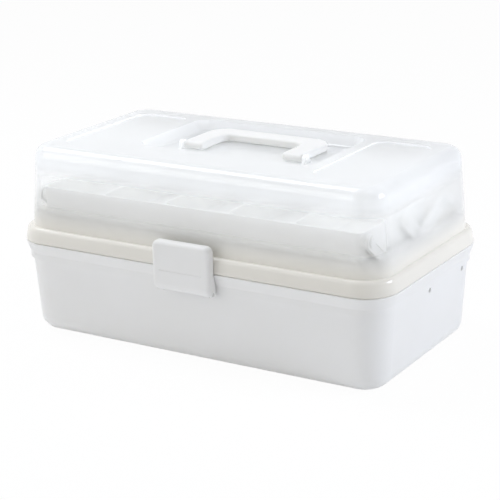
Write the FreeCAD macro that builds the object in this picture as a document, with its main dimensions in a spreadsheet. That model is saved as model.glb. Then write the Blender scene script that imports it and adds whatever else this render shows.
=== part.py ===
import FreeCAD
import Part
import math
import os
import Sketcher
from FreeCAD import Rotation, Vector

# A cantilever art supply box. A tub carries a hinged lid and two trays on parallel arms, and
# a link on each side ties the rear arm to the lid, so that the trays step out as it opens.
# Millimetres: +X right, -Y front, +Z up, origin on the ground under the middle of the box.

# Driving dimensions: alias, value, meaning. Every other size is worked out from these.
DIMENSIONS = [
    ("box_length", 330.0, "length over the rim"),
    ("box_depth", 180.0, "depth over the rim"),
    ("rim_radius", 26.0, "plan radius of the rim's corners"),
    ("base_height", 75.8, "ground to the tub's rim"),
    ("parting_gap", 0.5, "gap between the tub's rim and the lid"),
    ("wall_inset", 3.3, "rim to the tub's wall at the rim's height"),
    ("base_taper", 5.3, "how far the tub's wall leans in over its height"),
    ("base_wall", 2.2, "tub's wall"),
    ("base_floor", 2.6, "tub's floor"),
    ("foot_radius", 20.0, "plan radius of the tub's foot"),
    ("bottom_round", 12.0, "round between the tub's wall and its foot"),
    ("foot_margin", 20.0, "width of the flat ring that the tub stands on"),
    ("foot_recess", 0.8, "depth of the hollow inside that ring"),
    ("rim_drop", 13.8, "height of the thickened rim"),
    ("rim_band", 4.5, "height of the upright band under the rim's flare"),
    ("rim_flare", 3.2, "how far the rim flares out above that band"),
    ("rim_edge", 0.8, "round of the tub's and the lid's edges at the parting line"),
    ("lip_height", 4.0, "height of the upstand that centres the lid"),
    ("lip_width", 1.6, "thickness of that upstand"),
    ("lid_height", 76.7, "lid's lower edge to its top"),
    ("lid_wall", 2.0, "lid's wall"),
    ("lid_top", 2.6, "lid's top plate"),
    ("flange_height", 11.7, "height of the lid's flange with its shoulder"),
    ("flange_lean", 2.4, "how far the flange's face leans in over its height"),
    ("shoulder_round", 3.3, "round of the flange's shoulder"),
    ("crown_inset", 5.8, "rim to the lid's wall above the shoulder"),
    ("lid_taper", 4.9, "how far the lid's wall leans in above the shoulder"),
    ("top_round", 10.0, "round between the lid's wall and its top"),
    ("well_length", 158.0, "length of the handle's well at the lid's top"),
    ("well_width", 98.0, "width of the handle's well at the lid's top"),
    ("well_back", 12.0, "how far the well's middle lies behind the lid's"),
    ("well_depth", 8.5, "depth of the handle's well"),
    ("well_slope", 6.0, "how far the well's sides lean in over its depth"),
    ("well_radius", 14.0, "plan radius of the well's corners"),
    ("well_round", 4.0, "round between the well's sides and its floor"),
    ("panel_gap", 9.0, "ridge between the well and an end panel"),
    ("panel_end", 8.3, "end panel to the round at the lid's end"),
    ("panel_side", 12.3, "end panel to the rounds at the lid's front and back"),
    ("panel_depth", 1.2, "depth of the end panels"),
    ("panel_radius", 10.0, "plan radius of the end panels' corners"),
    ("hinge_out", 3.8, "rim to the hinge axis"),
    ("hinge_place", 95.0, "middle of the lid to the middle of each hinge"),
    ("knuckle_radius", 3.3, "hinge knuckles' radius"),
    ("knuckle_width", 14.0, "width of the lid's knuckles"),
    ("ear_width", 6.0, "width of the tub's hinge ears"),
    ("ear_gap", 0.3, "side gap between a knuckle and an ear"),
    ("hinge_pin_radius", 1.5, "hinge pins' and latch pin's radius"),
    ("gusset_height", 8.5, "height of the gussets behind the hinge knuckles"),
    ("pin_clear", 0.05, "radial clearance of every pin in its holes"),
    ("pivot_radius", 2.0, "radius of the arms', links' and handle's pins"),
    ("head_radius", 3.6, "radius of those pins' heads"),
    ("head_height", 1.3, "thickness of those pins' heads"),
    ("head_gap", 0.1, "gap under a pin's head"),
    ("tip_chamfer", 0.4, "chamfer on the pins' tips"),
    ("boss_radius", 5.0, "radius of the pivot bosses"),
    ("arm_spacing", 58.5, "front arms' pivots to the rear arms'"),
    ("pivot_drop", 17.4, "tub's rim down to the arms' pivots on the tub"),
    ("arm_reach", 69.2, "forward run of an arm from the tub to the upper tray"),
    ("middle_share", 0.566, "share of an arm's length at the middle tray's pivot"),
    ("link_share", 0.7, "share of an arm's length at the link's pivot"),
    ("arm_width", 11.0, "width of the arms and links"),
    ("arm_thick", 3.0, "thickness of the arms"),
    ("link_thick", 2.5, "thickness of the links"),
    ("arm_room", 11.5, "lid's wall beside the upper pivots to the arms' inner faces"),
    ("side_gap", 0.5, "gap between neighbouring arms, links and bosses"),
    ("groove_width", 5.0, "width of the hollow moulded along an arm"),
    ("groove_depth", 0.8, "depth of that hollow"),
    ("groove_end", 8.0, "pivot to the end of that hollow"),
    ("base_pin_sink", 1.8, "how far the arms' lower pins end inside the tub's wall"),
    ("lid_pin_sink", 1.0, "lid's link pin's end to the outside of the lid's wall"),
    ("tray_side", 1.5, "gap between the arms and the trays' end walls"),
    ("tray_depth", 107.5, "trays' depth"),
    ("tray_height", 23.0, "trays' height"),
    ("tray_gap", 0.7, "gap between the closed trays"),
    ("tray_inset", 13.0, "rim to the closed trays' front"),
    ("tray_setback", 6.0, "upper tray's front to its front pivots"),
    ("tray_drop", 15.7, "a tray's pivots to its underside"),
    ("tray_wall", 1.8, "trays' walls and dividers"),
    ("tray_floor", 1.8, "trays' floor"),
    ("tray_taper", 0.8, "how far a tray's walls lean in over its height"),
    ("tray_radius", 5.0, "plan radius of the trays' corners"),
    ("tray_round", 3.0, "round at the foot of each compartment"),
    ("tray_edge", 0.8, "round along the trays' lower edges"),
    ("tray_boss_depth", 5.5, "depth of the pin holes in the trays' bosses"),
    ("tray_boss_back", 1.2, "wall behind those holes"),
    ("upper_compartments", 5, "compartments of the upper tray"),
    ("middle_compartments", 3, "compartments of the middle tray"),
    ("handle_width", 108.0, "handle's width"),
    ("handle_opening", 72.0, "width of the handle's hand opening"),
    ("handle_room", 14.0, "well's rear edge to the folded handle's grip"),
    ("handle_reach", 49.7, "handle's axis to the back of its grip"),
    ("handle_thick", 6.5, "handle's thickness"),
    ("handle_lift", 0.5, "gap under the folded handle"),
    ("grip_width", 17.0, "width of the grip"),
    ("handle_corner", 16.0, "plan radius of the handle's outer corners"),
    ("opening_corner", 8.0, "plan radius of the hand opening's corners"),
    ("handle_round", 2.0, "round along the handle's edges"),
    ("handle_hole", 12.0, "depth of the pin holes in the handle"),
    ("lug_gap", 0.6, "side gap between the handle and its lugs"),
    ("lug_width", 3.2, "width of the handle's lugs"),
    ("lug_radius", 3.4, "radius of the handle's lugs"),
    ("latch_width", 51.0, "latch's width"),
    ("latch_rise", 22.2, "tub's rim up to the latch's upper end"),
    ("latch_fall", 18.3, "tub's rim down to the latch's lower end"),
    ("latch_proud", 7.1, "rim to the latch's face"),
    ("latch_plate", 2.6, "latch's face plate"),
    ("latch_side", 2.0, "latch's side walls"),
    ("latch_cap", 3.5, "latch's upper wall"),
    ("latch_clear", 0.6, "rim to the latch's side walls"),
    ("latch_tuck", 2.4, "how far the side walls reach in below the rim"),
    ("latch_corner", 5.0, "radius of the latch's corners, seen from the front"),
    ("latch_roll", 8.0, "round of the latch's lower edge"),
    ("latch_edge", 3.0, "round along the edges of the latch's face"),
    ("latch_line", 38.0, "length of the line moulded across the latch's face"),
    ("line_height", 1.6, "height of that line"),
    ("line_depth", 0.35, "depth of that line"),
    ("latch_axis_out", 1.2, "rim to the latch's axis"),
    ("latch_axis_drop", 15.3, "tub's rim down to the latch's axis"),
    ("latch_lug_radius", 2.7, "radius of the tub's latch lugs"),
    ("latch_lug_width", 4.0, "width of the tub's latch lugs"),
    ("latch_lug_gap", 1.0, "gap between a latch lug and the latch's side wall"),
]

# Lengths in millimetres that differ by less than this are the same.
TOUCH = 0.01

doc = FreeCAD.newDocument("art_supply_box")
sheet = doc.addObject("Spreadsheet::Sheet", "dims")
for row, (alias, value, meaning) in enumerate(DIMENSIONS, start=1):
    sheet.set(f"A{row}", meaning)
    sheet.set(f"B{row}", str(value))
    sheet.setAlias(f"B{row}", alias)
reckoner = doc.addObject("App::FeaturePython", "reckoner")
reckoner.addProperty("App::PropertyFloat", "value")
doc.recompute()

# Heights and places that several pieces share, as expressions of the sheet's cells.
LID_BOTTOM = "(dims.base_height + dims.parting_gap)"
LID_TOP = f"({LID_BOTTOM} + dims.lid_height)"
SHOULDER = f"({LID_BOTTOM} + dims.flange_height)"
CROWN_SLOPE = "(dims.lid_taper / (dims.lid_height - dims.flange_height))"
HINGE = ("(dims.box_depth/2 + dims.hinge_out)", "(dims.base_height + dims.parting_gap/2)")
ARM_RISE = "((dims.tray_height + dims.tray_gap)/(1 - dims.middle_share))"
PIVOT_Z = "(dims.base_height - dims.pivot_drop)"
LID_WALL_INSET = (
    f"(dims.crown_inset + dims.lid_wall + ({PIVOT_Z} + {ARM_RISE} - {SHOULDER})*{CROWN_SLOPE})"
)
ARM_PLANE = f"(dims.box_length/2 - {LID_WALL_INSET} - dims.arm_room)"
ARM_OUTER = f"({ARM_PLANE} + dims.arm_thick)"
TRAY_FRONT = "(dims.tray_inset - dims.box_depth/2)"
FRONT_Y = f"({TRAY_FRONT} + dims.tray_setback + dims.arm_reach)"
REAR_Y = f"({FRONT_Y} + dims.arm_spacing)"
LINK_PLANE = f"({ARM_OUTER} + dims.side_gap)"
LINK_OUTER = f"({LINK_PLANE} + dims.link_thick)"
PIN_HOLE = "(dims.pivot_radius + dims.pin_clear)"
HINGE_HOLE = "(dims.hinge_pin_radius + dims.pin_clear)"
HANDLE_BACK = "(dims.well_back + dims.well_width/2 - dims.handle_room)"
HANDLE_BOTTOM = f"({LID_TOP} - dims.well_depth + dims.handle_lift)"
HANDLE_AXIS = (f"({HANDLE_BACK} - dims.handle_reach)", f"({HANDLE_BOTTOM} + dims.handle_thick/2)")
LATCH_AXIS = (
    "(-dims.box_depth/2 - dims.latch_axis_out)",
    "(dims.base_height - dims.latch_axis_drop)",
)
LATCH_TOP = "(dims.base_height + dims.latch_rise)"
LATCH_BOTTOM = "(dims.base_height - dims.latch_fall)"
TUB_WALL_AT_PIVOT = (
    "(dims.box_length/2 - dims.wall_inset"
    " - dims.base_taper*dims.pivot_drop/dims.base_height)"
)


def along_arm(foot_y, share):
    """Point of an arm that stands on the tub at foot_y, at a share of the arm's length."""
    y = f"({foot_y} - {share}*dims.arm_reach)"
    z = f"({PIVOT_Z} + {share}*{ARM_RISE})"
    return y, z


ARM_LINK = along_arm(REAR_Y, "dims.link_share")
LID_LINK = (
    f"({HINGE[0]} - dims.link_share*dims.arm_reach)",
    f"({HINGE[1]} + dims.link_share*{ARM_RISE})",
)
LID_WALL_AT_LINK = (
    f"(dims.box_length/2 - dims.crown_inset - ({LID_LINK[1]} - {SHOULDER})*{CROWN_SLOPE})"
)


def number(expression):
    """Value of an expression of the sheet's cells, to draw a sketch where it will settle."""
    reckoner.setExpression("value", expression)
    reckoner.recompute()
    return reckoner.value


def new_body(label):
    body = doc.addObject("PartDesign::Body", label)
    body.Label = label
    return body


def origin_feature(body, role):
    return next(item for item in body.Origin.OriginFeatures if item.Role == role)


def new_sketch(body, name, plane, offset="0"):
    """Empty sketch on one of the body's own planes, moved along its normal."""
    sketch = body.newObject("Sketcher::SketchObject", name)
    sketch.AttachmentSupport = [(origin_feature(body, plane), "")]
    sketch.MapMode = "FlatFace"
    sketch.setExpression("AttachmentOffset.Base.z", offset)
    return sketch


def bind(sketch, constraint, expression):
    index = sketch.addConstraint(constraint)
    sketch.setExpression(f"Constraints[{index}]", expression)


def place_point(sketch, geometry, point, x, y):
    """Ties a point to the sketch's origin by two expressions."""
    bind(sketch, Sketcher.Constraint("DistanceX", -1, 1, geometry, point, number(x)), x)
    bind(sketch, Sketcher.Constraint("DistanceY", -1, 1, geometry, point, number(y)), y)


def draw_arc(sketch, x, y, radius, start, end):
    circle = Part.Circle(Vector(x, y, 0), Vector(0, 0, 1), radius)
    return sketch.addGeometry(Part.ArcOfCircle(circle, start, end), False)


def draw_circle(sketch, centre, radius):
    x, y = centre
    circle = Part.Circle(Vector(number(x), number(y), 0), Vector(0, 0, 1), number(radius))
    index = sketch.addGeometry(circle, False)
    bind(sketch, Sketcher.Constraint("Radius", index, number(radius)), radius)
    place_point(sketch, index, 3, x, y)


def draw_outline(sketch, corners):
    """Closed run of straight lines through corners, each a pair of expressions."""
    places = [Vector(number(x), number(y), 0) for x, y in corners]
    first = sketch.GeometryCount
    count = len(places)
    for i in range(count):
        sketch.addGeometry(Part.LineSegment(places[i], places[(i + 1) % count]), False)
    for i in range(count):
        following = first + (i + 1) % count
        sketch.addConstraint(Sketcher.Constraint("Coincident", first + i, 2, following, 1))
    for i, (x, y) in enumerate(corners):
        place_point(sketch, first + i, 1, x, y)


def draw_rounded(sketch, length, depth, radius, middle=("0", "0")):
    """Rectangle with round corners, its length along the sketch's first axis."""
    half_length = number(length) / 2
    half_depth = number(depth) / 2
    r = number(radius)
    x, y = number(middle[0]), number(middle[1])
    signs = [(1, 1), (-1, 1), (-1, -1), (1, -1)]
    arcs = []
    for turn, (sx, sy) in enumerate(signs):
        cx = x + sx * (half_length - r)
        cy = y + sy * (half_depth - r)
        arcs.append(draw_arc(sketch, cx, cy, r, turn * math.pi / 2, (turn + 1) * math.pi / 2))
    ends = [sketch.Geometry[arc] for arc in arcs]
    sides = []
    for i in range(4):
        side = Part.LineSegment(ends[i].EndPoint, ends[(i + 1) % 4].StartPoint)
        sides.append(sketch.addGeometry(side, False))
    for i in range(4):
        following = arcs[(i + 1) % 4]
        sketch.addConstraint(Sketcher.Constraint("Tangent", arcs[i], 2, sides[i], 1))
        sketch.addConstraint(Sketcher.Constraint("Tangent", sides[i], 2, following, 1))
        direction = "Horizontal" if i % 2 == 0 else "Vertical"
        sketch.addConstraint(Sketcher.Constraint(direction, sides[i]))
        if i:
            sketch.addConstraint(Sketcher.Constraint("Equal", arcs[0], arcs[i]))
    bind(sketch, Sketcher.Constraint("Radius", arcs[0], r), radius)
    reach = (f"({length})/2 - ({radius})", f"({depth})/2 - ({radius})")
    high = (f"{middle[0]} + {reach[0]}", f"{middle[1]} + {reach[1]}")
    low = (f"{middle[0]} - ({reach[0]})", f"{middle[1]} - ({reach[1]})")
    place_point(sketch, arcs[0], 3, *high)
    place_point(sketch, arcs[2], 3, *low)


def draw_bar(sketch, start, end, radius):
    """Straight bar with round ends about two centres."""
    r = number(radius)
    x0, y0 = number(start[0]), number(start[1])
    x1, y1 = number(end[0]), number(end[1])
    angle = math.atan2(y1 - y0, x1 - x0)
    tail = draw_arc(sketch, x0, y0, r, angle + math.pi / 2, angle + 3 * math.pi / 2)
    head = draw_arc(sketch, x1, y1, r, angle - math.pi / 2, angle + math.pi / 2)
    arcs = [sketch.Geometry[tail], sketch.Geometry[head]]
    there = sketch.addGeometry(Part.LineSegment(arcs[0].EndPoint, arcs[1].StartPoint), False)
    back = sketch.addGeometry(Part.LineSegment(arcs[1].EndPoint, arcs[0].StartPoint), False)
    for first, second in ((tail, there), (there, head), (head, back), (back, tail)):
        sketch.addConstraint(Sketcher.Constraint("Tangent", first, 2, second, 1))
    bind(sketch, Sketcher.Constraint("Radius", tail, r), radius)
    place_point(sketch, tail, 3, *start)
    place_point(sketch, head, 3, *end)


def pad(body, sketch, length, taper=None, reverse=False, symmetric=False):
    feature = body.newObject("PartDesign::Pad", sketch.Name + "_pad")
    feature.Profile = sketch
    feature.setExpression("Length", length)
    if taper:
        feature.setExpression("TaperAngle", taper)
    feature.Reversed = reverse
    feature.SideType = "Symmetric" if symmetric else "One side"
    doc.recompute()
    return feature


def pocket(body, sketch, length=None, taper=None, reverse=False, symmetric=False):
    """Cut along the sketch's back side, or right through both ways with no length."""
    before = body.Tip.Shape.Volume
    feature = body.newObject("PartDesign::Pocket", sketch.Name + "_cut")
    feature.Profile = sketch
    if length:
        feature.setExpression("Length", length)
    else:
        feature.Type = "ThroughAll"
    if taper:
        feature.setExpression("TaperAngle", taper)
    feature.Reversed = reverse
    feature.SideType = "Symmetric" if symmetric or not length else "One side"
    doc.recompute()
    if feature.Shape.Volume >= before:
        raise ValueError(f"{feature.Name} cuts nothing")
    return feature


def fillet(body, radius, chosen):
    """Rounds the edges of the body's last feature that chosen accepts."""
    base = body.Tip
    names = [f"Edge{i}" for i, edge in enumerate(base.Shape.Edges, start=1) if chosen(edge)]
    feature = body.newObject("PartDesign::Fillet", "round")
    feature.Base = (base, names)
    feature.setExpression("Radius", radius)
    doc.recompute()
    return feature


def mirror(body, originals):
    """Repeats features on the other side of the box's middle."""
    feature = body.newObject("PartDesign::Mirrored", "mirror")
    feature.Originals = originals
    feature.MirrorPlane = (origin_feature(body, "YZ_Plane"), [""])
    body.Tip = feature
    doc.recompute()
    return feature


def same(length, expression):
    """True where a measured length is the expression's value."""
    return abs(length - number(expression)) < TOUCH


def level_edges(height):
    """Test for edges that lie at a height."""

    def chosen(edge):
        box = edge.BoundBox
        return same(box.ZMin, height) and same(box.ZMax, height)

    return chosen


def inset_outline(sketch, inset, radius):
    """Rounded rectangle that lies inside the rim by inset."""
    length = f"(dims.box_length - 2*({inset}))"
    depth = f"(dims.box_depth - 2*({inset}))"
    draw_rounded(sketch, length, depth, radius)


def build_base_tub():
    body = new_body("base_tub")
    slope = "atan(dims.base_taper / dims.base_height)"
    foot = new_sketch(body, "tub_foot", "XY_Plane")
    inset_outline(foot, "dims.wall_inset + dims.base_taper", "dims.foot_radius")
    pad(body, foot, "dims.base_height", slope)

    # The rim: an upright band, then a flare out to the parting line.
    band = new_sketch(body, "rim_band", "XY_Plane", "dims.base_height - dims.rim_drop")
    inset_outline(band, "dims.rim_flare", "dims.rim_radius - dims.rim_flare")
    pad(body, band, "dims.rim_band")
    flare_height = "(dims.rim_drop - dims.rim_band)"
    flare = new_sketch(body, "rim_flare", "XY_Plane", f"dims.base_height - {flare_height}")
    inset_outline(flare, "dims.rim_flare", "dims.rim_radius - dims.rim_flare")
    pad(body, flare, flare_height, f"atan(dims.rim_flare / {flare_height})")
    fillet(body, "dims.rim_edge", level_edges("dims.base_height"))

    # The upstand that centres the lid, then the hollow inside it.
    cavity_inset = "(dims.wall_inset + dims.base_wall)"
    cavity_radius = "(dims.foot_radius + dims.base_taper - dims.base_wall)"
    lip = new_sketch(body, "lid_upstand", "XY_Plane", "dims.base_height")
    inset_outline(lip, f"{cavity_inset} - dims.lip_width", f"{cavity_radius} + dims.lip_width")
    inset_outline(lip, cavity_inset, cavity_radius)
    pad(body, lip, "dims.lip_height")
    cavity = new_sketch(body, "tub_hollow", "XY_Plane", "dims.base_height")
    inset_outline(cavity, cavity_inset, cavity_radius)
    pocket(body, cavity, "dims.base_height - dims.base_floor", f"-{slope}")
    fillet(body, "dims.bottom_round - dims.base_wall", level_edges("dims.base_floor"))
    fillet(body, "dims.bottom_round", level_edges("0"))
    ring = new_sketch(body, "foot_recess", "XY_Plane")
    ring_inset = "(dims.wall_inset + dims.base_taper + dims.foot_margin)"
    inset_outline(ring, ring_inset, "dims.foot_radius")
    pocket(body, ring, "dims.foot_recess", reverse=True)

    # Bosses for the arms' lower pins.
    bosses = new_sketch(body, "arm_bosses", "YZ_Plane", LINK_PLANE)
    for foot_y in (FRONT_Y, REAR_Y):
        draw_circle(bosses, (foot_y, PIVOT_Z), "dims.boss_radius")
    boss_length = f"{TUB_WALL_AT_PIVOT} - dims.base_wall/2 - {LINK_PLANE}"
    mirror(body, [pad(body, bosses, boss_length)])

    # Two ears for each rear hinge, with a gusset under each.
    side_step = "(dims.knuckle_width/2 + dims.ear_gap)"
    gusset = [
        ("dims.box_depth/2 - dims.wall_inset", "dims.base_height"),
        (f"{HINGE[0]} + dims.knuckle_radius", HINGE[1]),
        ("dims.box_depth/2 - dims.wall_inset", "dims.base_height - dims.gusset_height"),
    ]
    ears = []
    for start in (f"+ {side_step}", f"- {side_step} - dims.ear_width"):
        for draw, shape in ((draw_circle, (HINGE, "dims.knuckle_radius")), (draw_outline, (gusset,))):
            sketch = new_sketch(body, "hinge_ear", "YZ_Plane", f"dims.hinge_place {start}")
            draw(sketch, *shape)
            ears.append(pad(body, sketch, "dims.ear_width"))
    mirror(body, ears)

    # Two lugs for the latch's pin.
    lug_top = f"{LATCH_AXIS[1]} + dims.latch_lug_radius"
    lug_foot = f"{LATCH_AXIS[1]} - dims.latch_lug_radius"
    wall_y = f"(-dims.box_depth/2 + {cavity_inset})"
    web = [
        (wall_y, f"{lug_top} + dims.latch_lug_radius"),
        (LATCH_AXIS[0], lug_top),
        (LATCH_AXIS[0], lug_foot),
        (wall_y, lug_foot),
    ]
    lug_outer = "(dims.latch_width/2 - dims.latch_side - dims.latch_lug_gap)"
    lugs = []
    for draw, shape in ((draw_circle, (LATCH_AXIS, "dims.latch_lug_radius")), (draw_outline, (web,))):
        sketch = new_sketch(body, "latch_lug", "YZ_Plane", f"{lug_outer} - dims.latch_lug_width")
        draw(sketch, *shape)
        lugs.append(pad(body, sketch, "dims.latch_lug_width"))
    mirror(body, lugs)

    holes = new_sketch(body, "pivot_holes", "YZ_Plane")
    for foot_y in (FRONT_Y, REAR_Y):
        draw_circle(holes, (foot_y, PIVOT_Z), PIN_HOLE)
    draw_circle(holes, HINGE, HINGE_HOLE)
    draw_circle(holes, LATCH_AXIS, HINGE_HOLE)
    pocket(body, holes)
    return body


def build_lid_shell():
    body = new_body("lid_shell")
    crown_height = "(dims.lid_height - dims.flange_height)"
    slope = f"atan({CROWN_SLOPE})"
    flange = new_sketch(body, "lid_flange", "XY_Plane", LID_BOTTOM)
    inset_outline(flange, "0", "dims.rim_radius")
    lean = "atan(dims.flange_lean / dims.flange_height)"
    pad(body, flange, "dims.flange_height", f"-{lean}")
    fillet(body, "dims.shoulder_round", level_edges(SHOULDER))
    fillet(body, "dims.rim_edge", level_edges(LID_BOTTOM))
    crown = new_sketch(body, "lid_crown", "XY_Plane", SHOULDER)
    crown_radius = "(dims.rim_radius - dims.crown_inset/2)"
    inset_outline(crown, "dims.crown_inset", crown_radius)
    pad(body, crown, crown_height, f"-{slope}")

    # The hollow: wide inside the flange, then narrower above the shoulder.
    wide = new_sketch(body, "flange_hollow", "XY_Plane", LID_BOTTOM)
    inset_outline(wide, "dims.lid_wall", "dims.rim_radius - dims.lid_wall")
    pocket(body, wide, "dims.flange_height - dims.lid_wall", f"-{lean}", reverse=True)
    inner_start = f"({SHOULDER} - dims.lid_wall)"
    narrow = new_sketch(body, "crown_hollow", "XY_Plane", inner_start)
    narrow_inset = f"(dims.crown_inset + dims.lid_wall - dims.lid_wall*{CROWN_SLOPE})"
    inset_outline(narrow, narrow_inset, f"{crown_radius} - dims.lid_wall")
    inner_height = f"{crown_height} + dims.lid_wall - dims.lid_top"
    pocket(body, narrow, inner_height, f"-{slope}", reverse=True)
    fillet(body, "dims.top_round - dims.lid_wall", level_edges(f"{LID_TOP} - dims.lid_top"))
    fillet(body, "dims.top_round", level_edges(LID_TOP))

    # The handle's well: a basin hung under the top plate, hollowed from above.
    well_slope = "atan(dims.well_slope / dims.well_depth)"
    middle = ("0", "dims.well_back")
    basin = new_sketch(body, "well_basin", "XY_Plane", LID_TOP)
    basin_length = "(dims.well_length + 2*dims.lid_wall)"
    basin_width = "(dims.well_width + 2*dims.lid_wall)"
    draw_rounded(basin, basin_length, basin_width, "dims.well_radius + dims.lid_wall", middle)
    pad(body, basin, "dims.well_depth + dims.lid_wall", f"-{well_slope}", reverse=True)
    well = new_sketch(body, "handle_well", "XY_Plane", LID_TOP)
    draw_rounded(well, "dims.well_length", "dims.well_width", "dims.well_radius", middle)
    pocket(body, well, "dims.well_depth", f"-{well_slope}")
    well_floor = f"({LID_TOP} - dims.well_depth)"
    fillet(body, "dims.well_round", level_edges(well_floor))
    panels = new_sketch(body, "end_panels", "XY_Plane", LID_TOP)
    edge = "(dims.crown_inset + dims.lid_taper + dims.top_round)"
    panel_start = "(dims.well_length/2 + dims.panel_gap)"
    panel_length = f"(dims.box_length/2 - {edge} - dims.panel_end - {panel_start})"
    panel_width = f"(dims.box_depth - 2*({edge} + dims.panel_side))"
    panel_x = f"({panel_start} + {panel_length}/2)"
    for x in (panel_x, f"-{panel_x}"):
        draw_rounded(panels, panel_length, panel_width, "dims.panel_radius", (x, "0"))
    pocket(body, panels, "dims.panel_depth")

    # Lugs for the handle's pins.
    lug_start = "(dims.handle_width/2 + dims.lug_gap)"
    y, z = HANDLE_AXIS
    post = [
        (f"{y} - dims.lug_radius", z),
        (f"{y} + dims.lug_radius", z),
        (f"{y} + dims.lug_radius + dims.lid_wall", f"{well_floor} - dims.lid_wall/2"),
        (f"{y} - dims.lug_radius - dims.lid_wall", f"{well_floor} - dims.lid_wall/2"),
    ]
    lugs = []
    for draw, shape in ((draw_circle, (HANDLE_AXIS, "dims.lug_radius")), (draw_outline, (post,))):
        sketch = new_sketch(body, "handle_lug", "YZ_Plane", lug_start)
        draw(sketch, *shape)
        lugs.append(pad(body, sketch, "dims.lug_width"))
    mirror(body, lugs)
    holes = new_sketch(body, "handle_holes", "YZ_Plane", lug_start)
    draw_circle(holes, HANDLE_AXIS, PIN_HOLE)
    mirror(body, [pocket(body, holes, "dims.lug_width", reverse=True)])

    # One knuckle for each rear hinge, with a gusset that ends in the leaning flange.
    set_back = "dims.flange_lean*dims.gusset_height/dims.flange_height"
    gusset = [
        ("dims.box_depth/2 - dims.lid_wall/2", LID_BOTTOM),
        (f"{HINGE[0]} + dims.knuckle_radius", HINGE[1]),
        (f"dims.box_depth/2 - dims.lid_wall/2 - {set_back}", f"{LID_BOTTOM} + dims.gusset_height"),
    ]
    knuckles = []
    for draw, shape in ((draw_circle, (HINGE, "dims.knuckle_radius")), (draw_outline, (gusset,))):
        start = "dims.hinge_place - dims.knuckle_width/2"
        sketch = new_sketch(body, "lid_knuckle", "YZ_Plane", start)
        draw(sketch, *shape)
        knuckles.append(pad(body, sketch, "dims.knuckle_width"))
    mirror(body, knuckles)
    hinge_holes = new_sketch(body, "hinge_holes", "YZ_Plane")
    draw_circle(hinge_holes, HINGE, HINGE_HOLE)
    pocket(body, hinge_holes)

    # Bosses for the links' pins, blind from inside.
    boss_face = f"({LINK_OUTER} + dims.side_gap)"
    bosses = new_sketch(body, "link_bosses", "YZ_Plane", boss_face)
    draw_circle(bosses, LID_LINK, "dims.boss_radius")
    mirror(body, [pad(body, bosses, f"{LID_WALL_AT_LINK} - dims.lid_wall/2 - {boss_face}")])
    blind = new_sketch(body, "link_holes", "YZ_Plane", boss_face)
    draw_circle(blind, LID_LINK, PIN_HOLE)
    depth = f"{LID_WALL_AT_LINK} - dims.lid_pin_sink - {boss_face}"
    mirror(body, [pocket(body, blind, depth, reverse=True)])
    return body


def build_tray(label, share, count):
    """Tray with a row of compartments, carried at a share of the arms' length."""
    body = new_body(label)
    underside = f"({along_arm('0', share)[1]} - dims.tray_drop)"
    rim = f"({underside} + dims.tray_height)"
    middle_y = f"({TRAY_FRONT} + dims.tray_depth/2)"
    length = f"(2*({ARM_PLANE} - dims.tray_side))"
    slope = "atan(dims.tray_taper / dims.tray_height)"
    foot = new_sketch(body, label + "_foot", "XY_Plane", underside)
    foot_length = f"({length} - 2*dims.tray_taper)"
    foot_depth = "(dims.tray_depth - 2*dims.tray_taper)"
    draw_rounded(foot, foot_length, foot_depth, "dims.tray_radius", ("0", middle_y))
    pad(body, foot, "dims.tray_height", slope)
    fillet(body, "dims.tray_edge", level_edges(underside))

    # One compartment, repeated along the tray.
    pitch = f"(({length} - dims.tray_wall)/{count})"
    start = f"(-{length}/2 + dims.tray_wall/2 + {pitch}/2)"
    bin_sketch = new_sketch(body, label + "_bin", "XY_Plane", rim)
    bin_length = f"({pitch} - dims.tray_wall)"
    bin_depth = "(dims.tray_depth - 2*dims.tray_wall)"
    draw_rounded(bin_sketch, bin_length, bin_depth, "dims.tray_radius", (start, middle_y))
    bin_cut = pocket(body, bin_sketch, "dims.tray_height - dims.tray_floor", f"-{slope}")
    row = body.newObject("PartDesign::LinearPattern", label + "_bins")
    row.Originals = [bin_cut]
    row.Direction = (origin_feature(body, "X_Axis"), [""])
    row.setExpression("Length", f"{pitch}*({count} - 1)")
    row.setExpression("Occurrences", count)
    body.Tip = row
    doc.recompute()
    fillet(body, "dims.tray_round", level_edges(f"{underside} + dims.tray_floor"))

    # Bosses on the end walls for the arms' pins, blind from outside.
    boss_face = f"({ARM_PLANE} - dims.side_gap)"
    boss_depth = "(dims.tray_boss_depth + dims.tray_boss_back)"
    pivots = [along_arm(foot_y, share) for foot_y in (FRONT_Y, REAR_Y)]
    bosses = new_sketch(body, label + "_bosses", "YZ_Plane", boss_face)
    for pivot in pivots:
        draw_circle(bosses, pivot, "dims.boss_radius")
    mirror(body, [pad(body, bosses, boss_depth, reverse=True)])
    holes = new_sketch(body, label + "_holes", "YZ_Plane", boss_face)
    for pivot in pivots:
        draw_circle(holes, pivot, PIN_HOLE)
    mirror(body, [pocket(body, holes, "dims.tray_boss_depth")])
    return body


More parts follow.
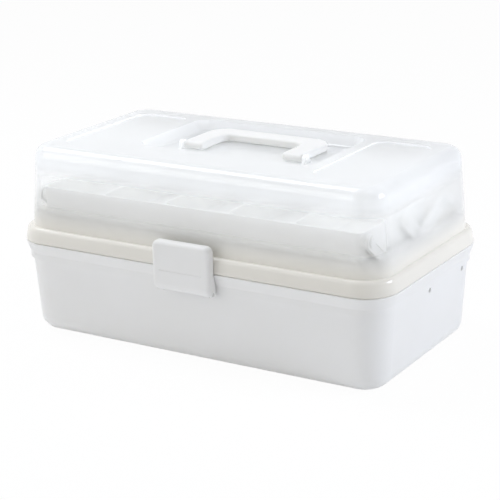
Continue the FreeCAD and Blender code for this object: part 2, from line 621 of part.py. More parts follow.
def build_bar(label, start, end, others, thick, plane, right):
    """Flat arm or link between two pivots, with further pivots and a moulded hollow."""
    body = new_body(label)
    outline = new_sketch(body, label + "_outline", "YZ_Plane")
    draw_bar(outline, start, end, "dims.arm_width/2")
    for pivot in (start, end, *others):
        draw_circle(outline, pivot, PIN_HOLE)
    pad(body, outline, thick)

    # The hollow runs between the pivots on the outer face, broken at each of them.
    stops = [start, *others, end]
    groove = new_sketch(body, label + "_groove", "YZ_Plane", thick if right else "0")
    for near, far in zip(stops, stops[1:]):
        run = f"sqrt(pow({far[0]} - {near[0]}; 2) + pow({far[1]} - {near[1]}; 2))"
        if number(run) > number("2*dims.groove_end + dims.groove_width"):
            first = part_way(near, far, f"dims.groove_end/{run}")
            last = part_way(far, near, f"dims.groove_end/{run}")
            draw_bar(groove, first, last, "dims.groove_width/2")
    pocket(body, groove, "dims.groove_depth", reverse=not right)
    body.setExpression("Placement.Base.x", plane if right else f"-{plane} - {thick}")
    return body


def part_way(near, far, share):
    """Point at a share of the way from one point to another."""
    return tuple(f"({a} + ({b} - {a})*{share})" for a, b in zip(near, far))


def build_pin(label, radius, length, place, inward, head=True):
    """Turned pin along X. Its head, if it has one, stops at the place it starts from."""
    body = new_body(label)
    profile = new_sketch(body, label + "_profile", "XY_Plane")
    tip = [
        (length, "0"),
        (length, f"{radius} - dims.tip_chamfer"),
        (f"{length} - dims.tip_chamfer", radius),
    ]
    if head:
        butt = [
            ("0", radius),
            ("0", "dims.head_radius"),
            ("-dims.head_height + dims.tip_chamfer", "dims.head_radius"),
            ("-dims.head_height", "dims.head_radius - dims.tip_chamfer"),
            ("-dims.head_height", "0"),
        ]
    else:
        butt = [
            ("dims.tip_chamfer", radius),
            ("0", f"{radius} - dims.tip_chamfer"),
            ("0", "0"),
        ]
    draw_outline(profile, tip + butt)
    turned = body.newObject("PartDesign::Revolution", label + "_turned")
    turned.Profile = profile
    turned.ReferenceAxis = (origin_feature(body, "X_Axis"), [""])
    turned.Angle = 360
    for axis, expression in zip("xyz", place):
        body.setExpression(f"Placement.Base.{axis}", expression)
    body.Placement.Rotation = Rotation(Vector(0, 0, 1), 180 if inward else 0)
    return body


def build_handle():
    body = new_body("carry_handle")
    front = f"({HANDLE_AXIS[0]} - dims.handle_thick/2)"
    half = "dims.handle_width/2"
    inner = "dims.handle_opening/2"
    grip = f"({HANDLE_BACK} - dims.grip_width)"
    outline = new_sketch(body, "handle_outline", "XY_Plane", HANDLE_BOTTOM)
    draw_outline(outline, [
        (f"-{half}", front),
        (f"-{inner}", front),
        (f"-{inner}", grip),
        (inner, grip),
        (inner, front),
        (half, front),
        (half, HANDLE_BACK),
        (f"-{half}", HANDLE_BACK),
    ])
    pad(body, outline, "dims.handle_thick")

    def upright_at(y):
        def chosen(edge):
            box = edge.BoundBox
            return box.ZLength > 1 and same(box.YMin, y) and same(box.YMax, y)
        return chosen

    fillet(body, "dims.handle_corner", upright_at(HANDLE_BACK))
    fillet(body, "dims.opening_corner", upright_at(grip))
    fillet(body, f"dims.handle_thick/2 - {TOUCH}", lambda edge: (
        edge.BoundBox.XLength > 1 and same(edge.BoundBox.YMax, front)
    ))
    top = f"({HANDLE_BOTTOM} + dims.handle_thick)"
    knuckle_back = number(HANDLE_AXIS[0]) + 0.1
    ends = (level_edges(HANDLE_BOTTOM), level_edges(top))
    fillet(body, "dims.handle_round", lambda edge: (
        any(test(edge) for test in ends) and edge.BoundBox.YMax > knuckle_back
    ))
    holes = new_sketch(body, "handle_pin_holes", "YZ_Plane", "dims.handle_width/2")
    draw_circle(holes, HANDLE_AXIS, PIN_HOLE)
    mirror(body, [pocket(body, holes, "dims.handle_hole")])
    return body


def build_latch():
    body = new_body("front_latch")
    face = "(-dims.box_depth/2 - dims.latch_proud)"
    back = "(-dims.box_depth/2 - dims.latch_clear)"
    tuck = f"({back} + dims.latch_tuck)"
    tuck_height = "(dims.base_height - dims.rim_drop + dims.rim_band)"
    profile = new_sketch(body, "latch_profile", "YZ_Plane")
    draw_outline(profile, [
        (face, LATCH_BOTTOM),
        (tuck, LATCH_BOTTOM),
        (tuck, tuck_height),
        (back, "dims.base_height"),
        (back, LATCH_TOP),
        (face, LATCH_TOP),
    ])
    pad(body, profile, "dims.latch_width", symmetric=True)

    def along_depth(z):
        def chosen(edge):
            box = edge.BoundBox
            level = same(box.ZMin, z) and same(box.ZMax, z)
            return level and box.YLength > 1 and box.XLength < TOUCH
        return chosen

    fillet(body, "dims.latch_corner", along_depth(LATCH_TOP))
    fillet(body, "dims.latch_roll", lambda edge: (
        edge.BoundBox.XLength > 1
        and same(edge.BoundBox.YMax, face)
        and same(edge.BoundBox.ZMax, LATCH_BOTTOM)
    ))
    fillet(body, "dims.latch_edge", lambda edge: (
        same(edge.BoundBox.YMax, face)
        and edge.BoundBox.ZMax > number(f"{LATCH_BOTTOM} + dims.latch_roll") + TOUCH
    ))
    line = new_sketch(body, "latch_line", "XZ_Plane", f"-{face}")
    middle = ("0", "dims.base_height")
    line_end = f"dims.line_height/2 - {TOUCH}"
    draw_rounded(line, "dims.latch_line", "dims.line_height", line_end, middle)
    pocket(body, line, "dims.line_depth")
    hollow = new_sketch(body, "latch_hollow", "YZ_Plane")
    inside = f"({face} + dims.latch_plate)"
    below = f"({LATCH_BOTTOM} - dims.latch_plate)"
    beyond = "(-dims.box_depth/2 + dims.latch_proud)"
    draw_outline(hollow, [
        (inside, below),
        (beyond, below),
        (beyond, f"{LATCH_TOP} - dims.latch_cap"),
        (inside, f"{LATCH_TOP} - dims.latch_cap"),
    ])
    pocket(body, hollow, "dims.latch_width - 2*dims.latch_side", symmetric=True)
    holes = new_sketch(body, "latch_holes", "YZ_Plane")
    draw_circle(holes, LATCH_AXIS, HINGE_HOLE)
    pocket(body, holes)
    return body


bodies = [build_base_tub(), build_lid_shell(), build_handle(), build_latch()]
bodies.append(build_tray("upper_tray", "1", "dims.upper_compartments"))
bodies.append(build_tray("middle_tray", "dims.middle_share", "dims.middle_compartments"))

for side, right in (("left", False), ("right", True)):
    sign = "" if right else "-"
    for arm, foot_y in (("front", FRONT_Y), ("rear", REAR_Y)):
        pivots = [along_arm(foot_y, "dims.middle_share")]
        if arm == "rear":
            pivots.append(ARM_LINK)
        bodies.append(build_bar(
            f"{arm}_arm_{side}", (foot_y, PIVOT_Z), along_arm(foot_y, "1"), pivots,
            "dims.arm_thick", ARM_PLANE, right,
        ))
        # Lower pin: head inside, pointing out through the tub's wall.
        lower_start = f"({ARM_PLANE} - dims.head_gap)"
        lower_length = f"({TUB_WALL_AT_PIVOT} - dims.base_pin_sink - {lower_start})"
        lower_place = (f"{sign}{lower_start}", foot_y, PIVOT_Z)
        bodies.append(build_pin(
            f"base_pin_{arm}_{side}", "dims.pivot_radius", lower_length, lower_place, not right,
        ))
        # Tray pins: head outside, pointing in to the tray's boss.
        tray_pin_length = "(dims.arm_thick + dims.side_gap + dims.tray_boss_depth)"
        for level, share in (("middle", "dims.middle_share"), ("upper", "1")):
            y, z = along_arm(foot_y, share)
            bodies.append(build_pin(
                f"{level}_pin_{arm}_{side}", "dims.pivot_radius", tray_pin_length,
                (f"{sign}({ARM_OUTER} + dims.head_gap)", y, z), right,
            ))
    bodies.append(build_bar(
        f"lid_link_{side}", ARM_LINK, LID_LINK, [], "dims.link_thick", LINK_PLANE, right,
    ))
    arm_pin_length = "(dims.link_thick + dims.side_gap + dims.arm_thick + dims.head_gap)"
    bodies.append(build_pin(
        f"arm_link_pin_{side}", "dims.pivot_radius", arm_pin_length,
        (f"{sign}({LINK_OUTER} + dims.head_gap)", *ARM_LINK), right,
    ))
    lid_pin_start = f"({LINK_PLANE} - dims.head_gap)"
    lid_pin_length = f"({LID_WALL_AT_LINK} - dims.lid_pin_sink - dims.head_gap - {lid_pin_start})"
    bodies.append(build_pin(
        f"lid_link_pin_{side}", "dims.pivot_radius", lid_pin_length,
        (f"{sign}{lid_pin_start}", *LID_LINK), not right,
    ))
    # Hinge pin: as long as the hinge.
    hinge_half = "(dims.knuckle_width/2 + dims.ear_gap + dims.ear_width)"
    bodies.append(build_pin(
        f"hinge_pin_{side}", "dims.hinge_pin_radius", f"(2*{hinge_half})",
        (f"{sign}dims.hinge_place - {hinge_half}", *HINGE), False, head=False,
    ))
    # Handle pin: through the lug and into the handle.
    handle_pin_start = "(dims.handle_width/2 + dims.lug_gap + dims.lug_width)"
    handle_pin_length = "(dims.lug_width + dims.lug_gap + dims.handle_hole - dims.head_gap)"
    bodies.append(build_pin(
        f"handle_pin_{side}", "dims.pivot_radius", handle_pin_length,
        (f"{sign}{handle_pin_start}", *HANDLE_AXIS), right, head=False,
    ))

latch_pin_length = "(dims.latch_width - dims.latch_side)"
bodies.append(build_pin(
    "latch_pin", "dims.hinge_pin_radius", latch_pin_length,
    (f"-{latch_pin_length}/2", *LATCH_AXIS), False, head=False,
))

doc.recompute()
for item in doc.Objects:
    if "Invalid" in item.State or "Error" in item.State:
        raise ValueError(f"{item.Label} failed: {item.State}")
for body in bodies:
    if body.Shape.isNull() or not body.Shape.isValid() or len(body.Shape.Solids) != 1:
        raise ValueError(f"{body.Label} is not one valid solid")

os.makedirs("parts", exist_ok=True)
for body in bodies:
    body.Shape.exportStep(f"parts/{body.Label}.step")
    print(body.Label, round(body.Shape.Volume / 1000, 2), "cm3")
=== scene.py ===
import math

import bpy
from mathutils import Matrix, Vector


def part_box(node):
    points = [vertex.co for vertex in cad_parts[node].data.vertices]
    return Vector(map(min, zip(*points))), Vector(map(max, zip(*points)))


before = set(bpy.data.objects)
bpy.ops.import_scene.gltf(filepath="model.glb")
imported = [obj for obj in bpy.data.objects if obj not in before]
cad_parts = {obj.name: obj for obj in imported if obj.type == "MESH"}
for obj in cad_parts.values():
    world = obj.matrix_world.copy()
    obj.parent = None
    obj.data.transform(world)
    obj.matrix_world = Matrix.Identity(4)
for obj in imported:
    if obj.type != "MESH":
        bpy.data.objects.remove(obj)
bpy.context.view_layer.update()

bl_info = {
    "name": "Art Supply Box",
    "version": (1, 0, 0),
    "blender": (4, 5, 0),
    "location": "3D View > Sidebar > Art Box",
    "description": "Finishes a cantilever art supply box and sets up its studio",
    "category": "Object",
}

# Heights between which the lid's flange fades into its clear wall, and the wall into its roof.
LID_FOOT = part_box("lid_shell")[0][2]
LID_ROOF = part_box("lid_shell")[1][2]
FLANGE_FADE = (LID_FOOT + 0.013, LID_FOOT + 0.035)
ROOF_FADE = (LID_ROOF - 0.024, LID_ROOF - 0.012)

# Widths in millimetres of the marks that moulding leaves, and their depths in metres.
FLOW_WIDTH = 45.0
SINK_WIDTH = 14.0
LID_SINK_WIDTH = 18.0
CLOUD_WIDTH = 60.0
SINK_DEPTH = 0.0002
GRAIN_DEPTH = 0.00004

# Index of polypropylene, and how far red, green and blue light spread in the white kind.
POLYPROPYLENE_INDEX = 1.49
SPREAD = (0.004, 0.0038, 0.0034)

# Name, place, width, length, power in watts and colour of each lamp, and what all of them face.
SOFTBOXES = (
    ("top_softbox", (-0.75, 0.0, 1.25), 0.55, 0.9, 9.0, "#f6f8ff"),
    ("side_softbox", (1.2, 0.45, 0.65), 0.5, 0.5, 8.0, "#eef3ff"),
    ("corner_softbox", (0.45, 0.0, 1.2), 0.22, 0.22, 1.0, "#f6f8ff"),
    ("front_softbox", (-1.1, -1.6, 0.9), 1.4, 1.4, 8.5, "#ffffff"),
)
LAMP_AIM = (0.0, 0.0, 0.08)

# Half of the floor's side, and the share of what the camera sees of it that is plain white.
FLOOR_HALF = 6.0
FLOOR_GLOW = 0.96

# Places of the colours among a Mix node's sockets.
MIX_A, MIX_B, MIX_OUT = 6, 7, 2


def linear(hex_colour):
    """Linear RGB of an sRGB hex value: the standard curve, undone channel by channel."""
    channels = [int(hex_colour[i:i + 2], 16) / 255 for i in (1, 3, 5)]
    return tuple(c / 12.92 if c <= 0.04045 else ((c + 0.055) / 1.055) ** 2.4 for c in channels)


def per_mm(size):
    """Texture scale in Object coordinates, in metres, for a feature that is size mm wide."""
    return 1000.0 / size


def add_node(tree, kind, inputs=None, **settings):
    """Adds a node, sets its settings, and links or sets each named or numbered input."""
    node = tree.nodes.new(kind)
    for name, value in settings.items():
        setattr(node, name, value)
    for name, value in (inputs or {}).items():
        if isinstance(value, bpy.types.NodeSocket):
            tree.links.new(value, node.inputs[name])
        else:
            node.inputs[name].default_value = value
    return node


def new_material(name):
    """Empty node material and its tree."""
    material = bpy.data.materials.new(name)
    material.use_nodes = True
    material.node_tree.nodes.clear()
    return material, material.node_tree


def named(*starts):
    """CAD nodes whose names start with any of these words."""
    found = sorted(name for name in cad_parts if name.startswith(starts))
    if not found:
        raise RuntimeError("no CAD node's name starts with " + " or ".join(starts))
    return found


def give(nodes, material):
    """Sets one material on CAD nodes."""
    for name in nodes:
        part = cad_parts[name]
        part.data.materials.clear()
        part.data.materials.append(material)


class ArtBoxMouldings(bpy.types.PropertyGroup):
    """Opaque white mouldings: tub, trays, arms, links, latch, handle and pins."""

    colour: bpy.props.FloatVectorProperty(
        name="White",
        description="Colour of the tub and the latch",
        subtype="COLOR",
        size=3,
        min=0.0,
        max=1.0,
        default=linear("#f1f1f0"),
    )
    shade: bpy.props.FloatVectorProperty(
        name="Flow shade",
        description="Slightly darker tone of the same where the melt met and cooled",
        subtype="COLOR",
        size=3,
        min=0.0,
        max=1.0,
        default=linear("#ececea"),
    )
    # Painted light: the trays, their arms and links, and the handle take a lighter copy of the
    # tub's white, which stands in for the extra light on the trays inside the lid and on the
    # handle.
    painted_light_tray_colour: bpy.props.FloatVectorProperty(
        name="Painted-light white",
        description="Colour of the trays, their arms and links, and the handle",
        subtype="COLOR",
        size=3,
        min=0.0,
        max=1.0,
        default=linear("#f7f7f5"),
    )
    painted_light_tray_shade: bpy.props.FloatVectorProperty(
        name="Painted-light flow shade",
        description="Slightly darker tone of the same where the melt met and cooled",
        subtype="COLOR",
        size=3,
        min=0.0,
        max=1.0,
        default=linear("#f3f3f0"),
    )
    grain: bpy.props.FloatProperty(
        name="Mould grain",
        description="Width of the mould's spark grain in millimetres, drawn coarse enough to show",
        default=0.9,
        min=0.1,
        max=5.0,
    )
    roughness: bpy.props.FloatProperty(
        name="Roughness",
        description="Middle roughness of the satin surface",
        subtype="FACTOR",
        default=0.42,
        min=0.0,
        max=1.0,
    )


class ArtBoxLid(bpy.types.PropertyGroup):
    """Hazy lid of unpigmented polypropylene."""

    colour: bpy.props.FloatVectorProperty(
        name="Natural white",
        description="Colour of the haze in the thin walls and the roof",
        subtype="COLOR",
        size=3,
        min=0.0,
        max=1.0,
        default=linear("#fcfdfe"),
    )
    cream: bpy.props.FloatVectorProperty(
        name="Flange cream",
        description="Colour of the haze in the thicker flange",
        subtype="COLOR",
        size=3,
        min=0.0,
        max=1.0,
        default=linear("#fffdf7"),
    )
    haze: bpy.props.FloatProperty(
        name="Haze",
        description="How many times light is scattered on its way through a wall, head on",
        default=0.2,
        min=0.0,
        max=5.0,
    )
    flange_haze: bpy.props.FloatProperty(
        name="Flange haze",
        description="The same in the flange, which cooled slowly and is milkier",
        default=1.6,
        min=0.0,
        max=5.0,
    )
    roof_haze: bpy.props.FloatProperty(
        name="Roof haze",
        description="The same in the roof, which is milkier than the walls too",
        default=0.8,
        min=0.0,
        max=5.0,
    )
    forward: bpy.props.FloatProperty(
        name="Forward share",
        description="Share of the scattered light that goes on through the wall",
        subtype="FACTOR",
        default=0.8,
        min=0.0,
        max=1.0,
    )
    flange_forward: bpy.props.FloatProperty(
        name="Flange forward share",
        description="The same in the flange, where light is scattered more often",
        subtype="FACTOR",
        default=0.3,
        min=0.0,
        max=1.0,
    )
    gloss: bpy.props.FloatProperty(
        name="Gloss roughness",
        description="Roughness of the polished outer face",
        subtype="FACTOR",
        default=0.07,
        min=0.0,
        max=1.0,
    )
    index: bpy.props.FloatProperty(
        name="Gloss index",
        description="Index that sets the gloss, a little over the plastic's own to match the lid",
        default=1.58,
        min=1.0,
        max=2.0,
    )


class ArtBoxStudio(bpy.types.PropertyGroup):
    """Camera and light."""

    azimuth: bpy.props.FloatProperty(
        name="Azimuth",
        description="Camera's bearing round the box, from straight in front",
        subtype="ANGLE",
        default=math.radians(31.51),
    )
    elevation: bpy.props.FloatProperty(
        name="Elevation",
        description="Camera's height above the horizon",
        subtype="ANGLE",
        default=math.radians(17.63),
    )
    roll: bpy.props.FloatProperty(
        name="Roll",
        description="Camera's turn about its own axis",
        subtype="ANGLE",
        default=math.radians(1.329),
    )
    distance: bpy.props.FloatProperty(
        name="Distance",
        description="Camera to the point that it looks at",
        unit="LENGTH",
        default=1.26614,
    )
    aim_right: bpy.props.FloatProperty(
        name="Aim right",
        description="Point that the camera looks at, to the right of the box's middle",
        unit="LENGTH",
        default=0.00199,
    )
    aim_height: bpy.props.FloatProperty(
        name="Aim height",
        description="Height of the point that the camera looks at",
        unit="LENGTH",
        default=0.06608,
    )
    lens: bpy.props.FloatProperty(
        name="Lens",
        description="Focal length in millimetres on a 36 mm sensor",
        default=114.245,
    )
    world_level: bpy.props.FloatProperty(
        name="Room light",
        description="Level of the even light from all round",
        default=0.38,
        min=0.0,
    )


def white_polypropylene(name, colour, shade, settings):
    """Pigmented polypropylene, injection moulded in a lightly grained tool: it gives the eye a
    soft satin white, broad weak highlights and a faint waviness where the walls cooled."""
    material, tree = new_material(name)
    place = add_node(tree, "ShaderNodeTexCoord").outputs["Object"]
    # Slow change of tone as the melt flows along a wall.
    flow = add_node(tree, "ShaderNodeTexNoise", {
        "Vector": place, "Scale": per_mm(FLOW_WIDTH), "Detail": 2.0, "Roughness": 0.4,
    })
    tone = add_node(tree, "ShaderNodeMix", {
        "Factor": flow.outputs["Fac"], MIX_A: (*shade, 1.0), MIX_B: (*colour, 1.0),
    }, data_type="RGBA")
    # Spark grain of the tool, drawn coarser than it is so that it shows, over a sink waviness.
    grain = add_node(tree, "ShaderNodeTexNoise", {
        "Vector": place, "Scale": per_mm(settings.grain), "Detail": 2.0, "Roughness": 0.6,
    })
    sink = add_node(tree, "ShaderNodeTexNoise", {
        "Vector": place, "Scale": per_mm(SINK_WIDTH), "Detail": 1.0, "Roughness": 0.3,
    })
    rough = add_node(tree, "ShaderNodeMapRange", {
        "Value": grain.outputs["Fac"],
        "To Min": settings.roughness - 0.07,
        "To Max": settings.roughness + 0.07,
    })
    wave = add_node(tree, "ShaderNodeBump", {
        "Height": sink.outputs["Fac"], "Strength": 0.25, "Distance": SINK_DEPTH,
    })
    fine = add_node(tree, "ShaderNodeBump", {
        "Height": grain.outputs["Fac"], "Strength": 0.2, "Distance": GRAIN_DEPTH,
        "Normal": wave.outputs["Normal"],
    })
    shader = add_node(tree, "ShaderNodeBsdfPrincipled", {
        "Base Color": tone.outputs[MIX_OUT],
        "Roughness": rough.outputs["Result"],
        "IOR": POLYPROPYLENE_INDEX,
        "Subsurface Weight": 0.12,
        "Subsurface Radius": SPREAD,
        "Subsurface Scale": 1.0,
        "Normal": fine.outputs["Normal"],
    })
    add_node(tree, "ShaderNodeOutputMaterial", {"Surface": shader.outputs["BSDF"]})
    return material


def natural_polypropylene(settings):
    """Unpigmented polypropylene, moulded thin in a polished tool: it gives the eye a milky sheet
    that is clear head on and white along the wall, with crisp highlights on its rounds."""
    material, tree = new_material("natural_polypropylene_polished_moulded")
    place = add_node(tree, "ShaderNodeTexCoord").outputs["Object"]
    # Sink waviness of a thin wall.
    sink = add_node(tree, "ShaderNodeTexNoise", {
        "Vector": place, "Scale": per_mm(LID_SINK_WIDTH), "Detail": 1.0, "Roughness": 0.3,
    })
    wave = add_node(tree, "ShaderNodeBump", {
        "Height": sink.outputs["Fac"], "Strength": 0.15, "Distance": SINK_DEPTH,
    }).outputs["Normal"]
    # The thick flange cooled slowly, so the plastic there is milkier and creamier.
    height = add_node(tree, "ShaderNodeSeparateXYZ", {"Vector": place}).outputs["Z"]
    above = add_node(tree, "ShaderNodeMapRange", {
        "Value": height, "From Min": FLANGE_FADE[0], "From Max": FLANGE_FADE[1],
    }, interpolation_type="SMOOTHSTEP").outputs["Result"]
    tone = add_node(tree, "ShaderNodeMix", {
        "Factor": above, MIX_A: (*settings.cream, 1.0), MIX_B: (*settings.colour, 1.0),
    }, data_type="RGBA").outputs[MIX_OUT]
    depth = add_node(tree, "ShaderNodeMapRange", {
        "Value": above, "To Min": settings.flange_haze, "To Max": settings.haze,
    }).outputs["Result"]
    # The roof and the top of the walls are milkier too.
    roof = add_node(tree, "ShaderNodeMapRange", {
        "Value": height, "From Min": ROOF_FADE[0], "From Max": ROOF_FADE[1],
    }, interpolation_type="SMOOTHSTEP").outputs["Result"]
    depth = add_node(tree, "ShaderNodeMapRange", {
        "Value": roof, "To Min": depth, "To Max": settings.roof_haze,
    }).outputs["Result"]
    # Crystals grow unevenly as a wall cools, so the haze wavers.
    cloud = add_node(tree, "ShaderNodeTexNoise", {
        "Vector": place, "Scale": per_mm(CLOUD_WIDTH), "Detail": 2.0, "Roughness": 0.45,
    })
    waver = add_node(tree, "ShaderNodeMapRange", {
        "Value": cloud.outputs["Fac"], "To Min": 0.9, "To Max": 1.1,
    }).outputs["Result"]
    depth = add_node(tree, "ShaderNodeMath", {
        0: depth, 1: waver,
    }, operation="MULTIPLY").outputs[0]
    # Light that crosses a wall aslant goes further in it, so less of it stays unscattered: the
    # clear share is e to the power of minus the haze over the cosine of the slant.
    slant = add_node(tree, "ShaderNodeLayerWeight", {
        "Blend": 0.5, "Normal": wave,
    }).outputs["Facing"]
    across = add_node(tree, "ShaderNodeMath", {
        0: 1.02, 1: slant,
    }, operation="SUBTRACT").outputs[0]
    path = add_node(tree, "ShaderNodeMath", {
        0: depth, 1: across,
    }, operation="DIVIDE").outputs[0]
    clear_share = add_node(tree, "ShaderNodeMath", {
        0: math.exp(-1.0), 1: path,
    }, operation="POWER").outputs[0]
    back = add_node(tree, "ShaderNodeBsdfDiffuse", {"Color": tone})
    ahead = add_node(tree, "ShaderNodeBsdfTranslucent", {"Color": tone})
    forward = add_node(tree, "ShaderNodeMapRange", {
        "Value": above, "To Min": settings.flange_forward, "To Max": settings.forward,
    })
    scatter = add_node(tree, "ShaderNodeMixShader", {
        0: forward.outputs["Result"], 1: back.outputs["BSDF"], 2: ahead.outputs["BSDF"],
    })
    clear = add_node(tree, "ShaderNodeBsdfTransparent")
    wall = add_node(tree, "ShaderNodeMixShader", {
        0: clear_share, 1: scatter.outputs["Shader"], 2: clear.outputs["BSDF"],
    })
    # Gloss rises from its head-on share to all of the light along the wall, as the fifth power.
    head_on = ((settings.index - 1.0) / (settings.index + 1.0)) ** 2
    steep = add_node(tree, "ShaderNodeMath", {0: slant, 1: 5.0}, operation="POWER")
    shine = add_node(tree, "ShaderNodeMapRange", {
        "Value": steep.outputs[0], "To Min": head_on, "To Max": 1.0,
    })
    polish = add_node(tree, "ShaderNodeBsdfGlossy", {
        "Color": (1.0, 1.0, 1.0, 1.0), "Roughness": settings.gloss, "Normal": wave,
    })
    surface = add_node(tree, "ShaderNodeMixShader", {
        0: shine.outputs["Result"], 1: wall.outputs["Shader"], 2: polish.outputs["BSDF"],
    })
    add_node(tree, "ShaderNodeOutputMaterial", {"Surface": surface.outputs["Shader"]})
    return material


def finish(name, colour, shade, starts):
    """Gives a white polypropylene, made once, to the CAD nodes whose names start like this."""
    settings = bpy.context.scene.art_box_mouldings
    material = bpy.data.materials.get(name) or white_polypropylene(name, colour, shade, settings)
    give(named(*starts), material)


def finish_white(*starts):
    """Gives the tub's white to these CAD nodes."""
    settings = bpy.context.scene.art_box_mouldings
    finish("white_polypropylene_satin_moulded", settings.colour, settings.shade, starts)


def finish_painted_light_white(*starts):
    """Gives these CAD nodes a lighter copy of the tub's white: painted light that stands in for
    the extra light on them.
    """
    settings = bpy.context.scene.art_box_mouldings
    finish("white_polypropylene_painted_light", settings.painted_light_tray_colour, settings.painted_light_tray_shade, starts)


class ARTBOX_OT_tub(bpy.types.Operator):
    """Finish the tub and the pins in its walls"""

    bl_idname = "artbox.tub"
    bl_label = "Finish Tub"

    def execute(self, context):
        finish_white("base_tub", "base_pin", "hinge_pin", "latch_pin")
        return {"FINISHED"}


class ARTBOX_OT_trays(bpy.types.Operator):
    """Finish both trays and their pins"""

    bl_idname = "artbox.trays"
    bl_label = "Finish Trays"

    def execute(self, context):
        # Painted light: the trays take the lighter copy of the white.
        finish_painted_light_white("upper_", "middle_")
        return {"FINISHED"}


class ARTBOX_OT_arms(bpy.types.Operator):
    """Finish the arms and links that carry the trays"""

    bl_idname = "artbox.arms"
    bl_label = "Finish Arms"

    def execute(self, context):
        # Painted light: the arms and links take the lighter copy of the white.
        finish_painted_light_white("front_arm", "rear_arm", "lid_link", "arm_link")
        return {"FINISHED"}


class ARTBOX_OT_latch(bpy.types.Operator):
    """Finish the front latch"""

    bl_idname = "artbox.latch"
    bl_label = "Finish Latch"

    def execute(self, context):
        finish_white("front_latch")
        return {"FINISHED"}


class ARTBOX_OT_handle(bpy.types.Operator):
    """Finish the folding handle and its pins"""

    bl_idname = "artbox.handle"
    bl_label = "Finish Handle"

    def execute(self, context):
        # Painted light: the handle and its pins take the lighter copy of the white.
        finish_painted_light_white("carry_handle", "handle_pin")
        return {"FINISHED"}


class ARTBOX_OT_lid(bpy.types.Operator):
    """Finish the hazy lid"""

    bl_idname = "artbox.lid"
    bl_label = "Finish Lid"

    def execute(self, context):
        give(["lid_shell"], natural_polypropylene(context.scene.art_box_lid))
        return {"FINISHED"}


def set_camera(studio):
    """Camera at the photograph's bearing, height, roll, distance and focal length."""
    a, e, r = studio.azimuth, studio.elevation, studio.roll
    back = Vector((math.sin(a) * math.cos(e), -math.cos(a) * math.cos(e), math.sin(e)))
    right = Vector((math.cos(a), math.sin(a), 0.0))
    up = back.cross(right)
    rolled_right = right * math.cos(r) - up * math.sin(r)
    rolled_up = right * math.sin(r) + up * math.cos(r)
    data = bpy.data.cameras.new("studio_camera")
    data.sensor_width = 36.0
    data.lens = studio.lens
    data.clip_start = 0.05
    camera = bpy.data.objects.new("studio_camera", data)
    aim = right * studio.aim_right + Vector((0.0, 0.0, studio.aim_height))
    turn = Matrix((rolled_right, rolled_up, back)).transposed()
    camera.matrix_world = Matrix.LocRotScale(aim + back * studio.distance, turn, None)
    bpy.context.scene.collection.objects.link(camera)
    bpy.context.scene.camera = camera


def add_softbox(name, place, width, length, power, colour):
    """Oblong area lamp that faces the box, with its length in the upright plane of its beam."""
    data = bpy.data.lights.new(name, "AREA")
    data.shape = "RECTANGLE"
    data.size = width
    data.size_y = length
    data.energy = power
    data.color = linear(colour)
    lamp = bpy.data.objects.new(name, data)
    lamp.location = place
    beam = Vector(LAMP_AIM) - Vector(place)
    lamp.rotation_euler = beam.to_track_quat("-Z", "Y").to_euler()
    bpy.context.scene.collection.objects.link(lamp)


def seen_by_camera(tree):
    """1 on rays that show a surface to the camera, straight, in gloss or through a clear wall,
    and 0 on rays that only carry light."""
    ray = add_node(tree, "ShaderNodeLightPath").outputs
    plain = add_node(tree, "ShaderNodeMath", {
        0: ray["Is Camera Ray"], 1: ray["Is Glossy Ray"],
    }, operation="MAXIMUM").outputs[0]
    return add_node(tree, "ShaderNodeMath", {
        0: plain, 1: ray["Is Transmission Ray"],
    }, operation="MAXIMUM").outputs[0]


def set_world(studio):
    """Even room light, and a white background for what the camera sees directly or in gloss."""
    world = bpy.data.worlds.new("white_studio")
    world.use_nodes = True
    tree = world.node_tree
    tree.nodes.clear()
    level = add_node(tree, "ShaderNodeMapRange", {
        "Value": seen_by_camera(tree), "To Min": studio.world_level, "To Max": 1.0,
    })
    light = add_node(tree, "ShaderNodeBackground", {
        "Color": (1.0, 1.0, 1.0, 1.0), "Strength": level.outputs["Result"],
    })
    add_node(tree, "ShaderNodeOutputWorld", {"Surface": light.outputs["Background"]})
    bpy.context.scene.world = world


def pale_paper():
    """Matt white paper, uncoated: it gives the eye an even pale floor. It glows for the camera,
    so that it meets the white background, and still keeps the box's soft shadow."""
    material, tree = new_material("pale_paper_floor")
    share = add_node(tree, "ShaderNodeMath", {
        0: seen_by_camera(tree), 1: FLOOR_GLOW,
    }, operation="MULTIPLY")
    paper = add_node(tree, "ShaderNodeBsdfDiffuse", {"Color": (*linear("#fefefe"), 1.0)})
    glow = add_node(tree, "ShaderNodeEmission", {"Color": (1.0, 1.0, 1.0, 1.0), "Strength": 1.0})
    mixed = add_node(tree, "ShaderNodeMixShader", {
        0: share.outputs[0], 1: paper.outputs["BSDF"], 2: glow.outputs["Emission"],
    })
    add_node(tree, "ShaderNodeOutputMaterial", {"Surface": mixed.outputs["Shader"]})
    return material


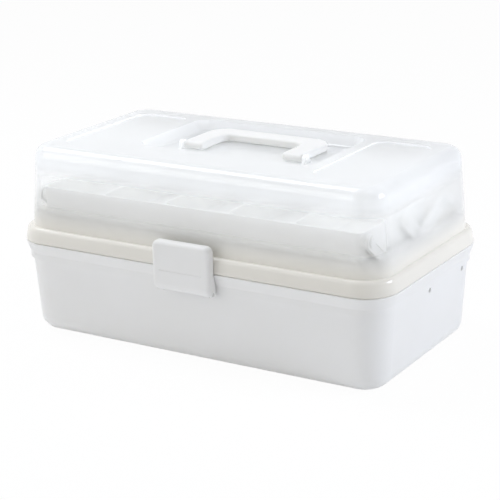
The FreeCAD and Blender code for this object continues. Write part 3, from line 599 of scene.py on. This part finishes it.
def lay_floor():
    """Square floor under the box."""
    mesh = bpy.data.meshes.new("floor")
    half = FLOOR_HALF
    corners = [(-half, -half, 0.0), (half, -half, 0.0), (half, half, 0.0), (-half, half, 0.0)]
    mesh.from_pydata(corners, [], [(0, 1, 2, 3)])
    mesh.materials.append(pale_paper())
    floor = bpy.data.objects.new("floor", mesh)
    bpy.context.scene.collection.objects.link(floor)


class ARTBOX_OT_studio(bpy.types.Operator):
    """Set the camera, the soft light and the pale floor"""

    bl_idname = "artbox.studio"
    bl_label = "Set Studio"

    def execute(self, context):
        studio = context.scene.art_box_studio
        context.scene.view_settings.view_transform = "Standard"
        set_camera(studio)
        set_world(studio)
        for softbox in SOFTBOXES:
            add_softbox(*softbox)
        lay_floor()
        return {"FINISHED"}


class ARTBOX_PT_panel(bpy.types.Panel):
    """Lists the box's settings and operators"""

    bl_idname = "ARTBOX_PT_panel"
    bl_label = "Art Supply Box"
    bl_space_type = "VIEW_3D"
    bl_region_type = "UI"
    bl_category = "Art Box"

    def draw(self, context):
        for group in GROUPS:
            settings = getattr(context.scene, group)
            for name in settings.__annotations__:
                self.layout.prop(settings, name)
        for operator in OPERATORS:
            self.layout.operator(operator.bl_idname)


OPERATORS = (
    ARTBOX_OT_tub,
    ARTBOX_OT_trays,
    ARTBOX_OT_arms,
    ARTBOX_OT_latch,
    ARTBOX_OT_handle,
    ARTBOX_OT_lid,
    ARTBOX_OT_studio,
)
GROUPS = {
    "art_box_mouldings": ArtBoxMouldings,
    "art_box_lid": ArtBoxLid,
    "art_box_studio": ArtBoxStudio,
}


def register():
    for name, group in GROUPS.items():
        bpy.utils.register_class(group)
        setattr(bpy.types.Scene, name, bpy.props.PointerProperty(type=group))
    for operator in OPERATORS:
        bpy.utils.register_class(operator)
    bpy.utils.register_class(ARTBOX_PT_panel)


def unregister():
    bpy.utils.unregister_class(ARTBOX_PT_panel)
    for operator in reversed(OPERATORS):
        bpy.utils.unregister_class(operator)
    for name, group in GROUPS.items():
        delattr(bpy.types.Scene, name)
        bpy.utils.unregister_class(group)


def main():
    register()
    bpy.ops.artbox.tub()
    bpy.ops.artbox.trays()
    bpy.ops.artbox.arms()
    bpy.ops.artbox.latch()
    bpy.ops.artbox.handle()
    bpy.ops.artbox.lid()
    bpy.ops.artbox.studio()


if __name__ == "__main__":
    main()
